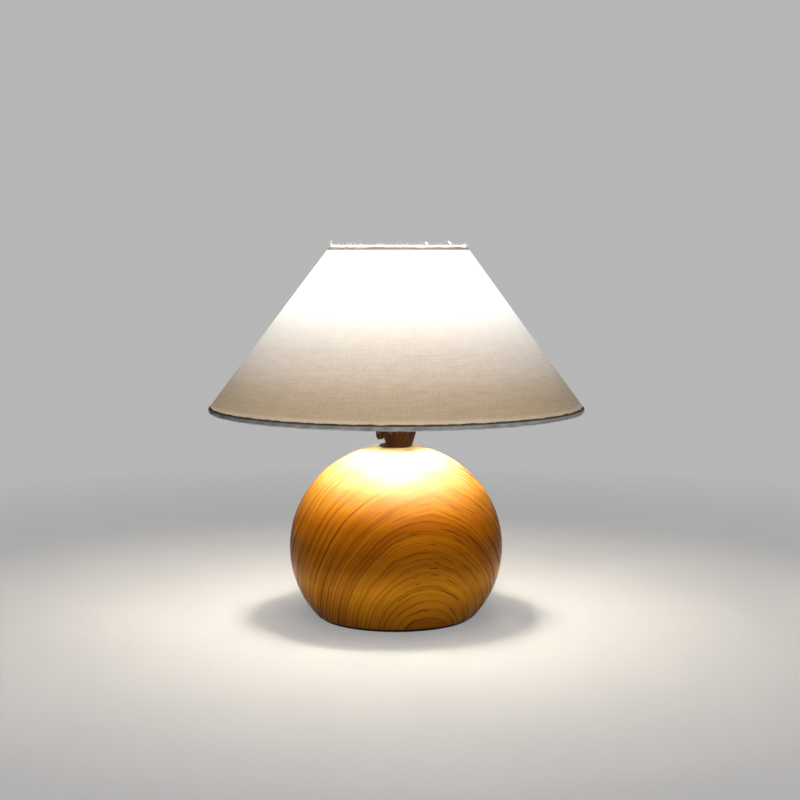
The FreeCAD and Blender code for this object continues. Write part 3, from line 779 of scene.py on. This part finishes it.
def threadCloth(name, tint, glow):
    made, tree, shader = newMaterial(name, Roughness=0.9, Emission_Color=(*glow, 1.0),
                                     Emission_Strength=1.0)
    fleck = noiseAt(tree, objectPlace(tree), fleckLook["scale"], 1.0)
    darker = tuple(fleckLook["dark"] * v for v in tint)
    tree.links.new(mixed(tree, fleck, darker, tint), shader.inputs["Base Color"])
    return made


# where each lot of threads grows, as (radius, height) of its strip's two edges, and its settings
fuzzLow = skinLow + 0.001
fuzzHigh = skinHigh - 0.001
threadPlan = {
    "topFray": {
        "inner": (hemTop["radius"] + 0.0003, hemTop["z"] + 0.0013),
        "outer": (hemTop["radius"] + 0.0012, hemTop["z"] + 0.0007),
        "columns": 240, "slot": "hem_fabric",
        "cloth": ("frayTop", (0.82, 0.81, 0.78), (0.45, 0.44, 0.42)),
        "settings": {"Per Square Metre": 900000.0, "Length": 0.0040, "Thickness": 0.00010,
                     "Lean": 1.1, "Clump Size": 0.010, "Clumping": 0.55, "Seed": 5}},
    "bottomFray": {
        "inner": (hemLow["radius"] + 0.0015, hemLow["z"] - 0.0012),
        "outer": (hemLow["radius"] + 0.0002, hemLow["z"] - 0.0019),
        "columns": 360, "slot": "hem_fabric",
        "cloth": ("frayLow", (0.55, 0.56, 0.56), (0.06, 0.06, 0.06)),
        "settings": {"Per Square Metre": 620000.0, "Length": 0.0025, "Thickness": 0.00008,
                     "Lean": 1.0, "Clump Size": 0.009, "Clumping": 0.55, "Seed": 8}},
    "skinFuzz": {
        "inner": (skinRadius(fuzzHigh), fuzzHigh),
        "outer": (skinRadius(fuzzLow), fuzzLow),
        "columns": 240, "slot": "shade_fabric",
        "cloth": ("fuzz", (0.70, 0.66, 0.58), (0.15, 0.14, 0.12)),
        "settings": {"Per Square Metre": 8000.0, "Length": 0.0026, "Thickness": 0.00005,
                     "Lean": 1.2, "Clump Size": 0.03, "Clumping": 0.6, "Seed": 3}},
}
threadTree = looseThreadTree()
for name, plan in threadPlan.items():
    host = hostStrip(name + "Host", plan["inner"], plan["outer"], plan["columns"])
    settings = {**plan["settings"], "Material": threadCloth(*plan["cloth"])}
    piece = growThreads(name, host, threadTree, settings)
    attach(piece, "shade")
print("loose threads grown")

give("ball_body", woodMaterial())
print("ball turned")


# grain of moulded and plated surfaces, and the helix of a screw thread, shared by the materials
grainLook = {"fineDetail": 3.0, "broadScale": 0.12, "broadShare": 0.6, "fineShare": 0.4,
             "toneSpan": (0.35, 0.65)}


def grainGroup():
    tree, given, done = newGroup("surfaceGrain", "ShaderNodeTree", (
        ("Vector", "Vector", None), ("Size", "Float", 0.001), ("Stretch", "Float", 1.0)),
        (("Tone", "Float"), ("Height", "Float")))
    place = vectorMaths(tree, "MULTIPLY", {0: given["Vector"],
                                           1: vectorOf(tree, 1.0, 1.0, given["Stretch"])})
    scale = maths(tree, "DIVIDE", 1.0, given["Size"])
    fine = noiseAt(tree, place, scale, grainLook["fineDetail"])
    broad = noiseAt(tree, place, times(tree, scale, grainLook["broadScale"]), 2.0)
    tone = plusTimes(tree, broad, grainLook["broadShare"],
                     times(tree, fine, grainLook["fineShare"]))
    tree.links.new(mapped(tree, tone, grainLook["toneSpan"]), done["Tone"])
    tree.links.new(fine, done["Height"])
    return tree


def helixGroup():
    tree, given, done = newGroup("screwThread", "ShaderNodeTree", (
        ("Vector", "Vector", None), ("Pitch", "Float", 0.001)), (("Height", "Float"),))
    parts = split(tree, given["Vector"])
    angle = maths(tree, "ARCTAN2", parts["Y"], parts["X"])
    climb = maths(tree, "DIVIDE", times(tree, parts["Z"], 2 * math.pi), given["Pitch"])
    wave = maths(tree, "COSINE", maths(tree, "SUBTRACT", climb, angle))
    tree.links.new(plusTimes(tree, wave, 0.5, 0.5), done["Height"])
    return tree


grain = grainGroup()
helix = helixGroup()


def grained(name, look, **sockets):
    made, tree, shader = newMaterial(name, **sockets)
    group = addNode(tree, "ShaderNodeGroup", {
        "Vector": objectPlace(tree), "Size": look["size"],
        "Stretch": look.get("stretch", 1.0)}, node_tree=grain)
    tone = group.outputs["Tone"]
    tree.links.new(mixed(tree, tone, look["low"], look["high"]), shader.inputs["Base Color"])
    tree.links.new(plusTimes(tree, tone, look["spread"], look["rough"]),
                   shader.inputs["Roughness"])
    height = times(tree, group.outputs["Height"], look["bump"])
    if "pitch" in look:
        turns = addNode(tree, "ShaderNodeGroup", {"Vector": objectPlace(tree),
                                                  "Pitch": look["pitch"]}, node_tree=helix)
        height = plusTimes(tree, turns.outputs["Height"], look["depth"], height)
    bumped(tree, shader, height, 1.0, 1.0)
    return made


# finishes of the hard parts; size, bump, pitch and depth are in metres
felt = {"low": (0.006, 0.006, 0.006), "high": (0.020, 0.019, 0.018), "size": 0.0006,
        "rough": 0.85, "spread": 0.15, "bump": 0.00030}
blackPlastic = {"low": (0.010, 0.010, 0.010), "high": (0.020, 0.020, 0.021), "size": 0.0007,
                "rough": 0.38, "spread": 0.15, "bump": 0.00003}
brownPlastic = {"low": (0.0095, 0.0034, 0.0008), "high": (0.0145, 0.0056, 0.0014),
                "size": 0.0012, "rough": 0.42, "spread": 0.14, "bump": 0.00003}
brownThread = {**brownPlastic, "pitch": 0.0020, "depth": 0.0005}
creamPlastic = {"low": (0.50, 0.45, 0.35), "high": (0.62, 0.57, 0.46), "size": 0.0010,
                "rough": 0.40, "spread": 0.15, "bump": 0.00004}
zincPlate = {"low": (0.42, 0.43, 0.44), "high": (0.64, 0.64, 0.62), "size": 0.0009,
             "rough": 0.28, "spread": 0.20, "bump": 0.00002}
zincThread = {**zincPlate, "pitch": 0.0010, "depth": 0.0004}
brass = {"low": (0.58, 0.36, 0.12), "high": (0.80, 0.57, 0.26), "size": 0.0010, "stretch": 0.2,
         "rough": 0.20, "spread": 0.22, "bump": 0.00002}
brassThread = {**brass, "pitch": 0.00282, "depth": 0.0007}
nickelThread = {"low": (0.56, 0.55, 0.52), "high": (0.74, 0.73, 0.70), "size": 0.0010,
                "rough": 0.18, "spread": 0.18, "bump": 0.00002, "pitch": 0.00282,
                "depth": 0.0007}
whiteEnamel = {"low": (0.66, 0.65, 0.60), "high": (0.76, 0.75, 0.71), "size": 0.0016,
               "rough": 0.24, "spread": 0.12, "bump": 0.00005}
darkGlass = {"low": (0.012, 0.009, 0.016), "high": (0.022, 0.018, 0.028), "size": 0.0008,
             "rough": 0.10, "spread": 0.12, "bump": 0.00002}
solder = {"low": (0.38, 0.38, 0.38), "high": (0.60, 0.60, 0.58), "size": 0.0007,
          "rough": 0.34, "spread": 0.22, "bump": 0.00012}

brown = grained("brownPlastic", brownPlastic, Specular_IOR_Level=0.03)
zinc = grained("zincPlate", zincPlate, Metallic=1.0)
brassFlat = grained("brass", brass, Metallic=1.0)
enamel = grained("whiteEnamel", whiteEnamel, Coat_Weight=0.5)
finishes = {
    "foot_pad": grained("blackFelt", felt, Sheen_Weight=0.2, Specular_IOR_Level=0.1),
    "cord_inlet": grained("blackPlastic", blackPlastic),
    "centre_tube": grained("zincThread", zincThread, Metallic=1.0),
    "tube_washer": zinc,
    "tube_nut": zinc,
    "holder_dome": brown,
    "holder_tabs": brown,
    "holder_grub_screw": zinc,
    "holder_sleeve": grained("brownPlasticThread", brownThread, Specular_IOR_Level=0.03),
    "retaining_ring": brown,
    "terminal_block": grained("creamPlastic", creamPlastic),
    "terminal_screws": brassFlat,
    "centre_contact": brassFlat,
    "screw_shell": grained("brassThread", brassThread, Metallic=1.0),
    "shade_fitter": enamel,
    "shade_arms": enamel,
    "bottom_wire": enamel,
    "bulb_cap": grained("nickelThread", nickelThread, Metallic=1.0),
    "bulb_insulator": grained("darkGlass", darkGlass),
    "bulb_tip": grained("solder", solder, Metallic=1.0)}
for nodeName, made in finishes.items():
    give(nodeName, made)

# the upper wire leans with the cloth round it, and its roll is even
wireRoll = {"roll": hemTop["wire"], "columns": 180, "rows": 12,
            "uneven": {"seed": 1, "count": 1, "strength": 0.0, "highest": 3}}
topWire = buildHem("topWire", hemTop, wireRoll, enamel)
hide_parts("top_wire")
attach(topWire, "shade")
print("hard parts finished")

# frosted bulb: lights the scene fully, while the globe itself is seen at a level that shows its form
# litFrom and seenFrom are heights, over which the light given and the level seen rise
bulbLook = {"light": (1.0, 0.90, 0.74, 1.0), "given": 620.0, "mirrored": 10.0,
            "litFrom": (0.165, 0.200), "seen": (0.62, 1.0), "seenFrom": (0.160, 0.200),
            "frostDark": (0.78, 0.76, 0.72), "frostPale": (0.90, 0.88, 0.84),
            "frostScale": 60.0, "frostGlow": 0.10, "behindGlow": (0.02, 0.02, 0.02)}


def bulbMaterial():
    made, tree, shader = newMaterial("frostedGlass", Roughness=0.35,
                                     Emission_Color=bulbLook["light"])
    path = lightPath(tree)
    cloudy = noiseAt(tree, objectPlace(tree), bulbLook["frostScale"], 2.0)
    frosted = mixed(tree, cloudy, bulbLook["frostDark"], bulbLook["frostPale"])
    tree.links.new(mixed(tree, path["Is Camera Ray"], frosted, bulbLook["behindGlow"]),
                   shader.inputs["Base Color"])
    up = split(tree, objectPlace(tree))["Z"]
    given = mapped(tree, path["Is Glossy Ray"], (0.0, 1.0),
                   (bulbLook["given"], bulbLook["mirrored"]))
    given = times(tree, given, mapped(tree, up, bulbLook["litFrom"]))
    seen = mapped(tree, up, bulbLook["seenFrom"], bulbLook["seen"])
    seen = plusTimes(tree, cloudy, bulbLook["frostGlow"], seen)
    level = addNode(tree, "ShaderNodeMix", {0: path["Is Camera Ray"], 2: given, 3: seen},
                    data_type="FLOAT")
    tree.links.new(level.outputs[0], shader.inputs["Emission Strength"])
    return made


give("bulb_globe", bulbMaterial())
print("bulb lit")
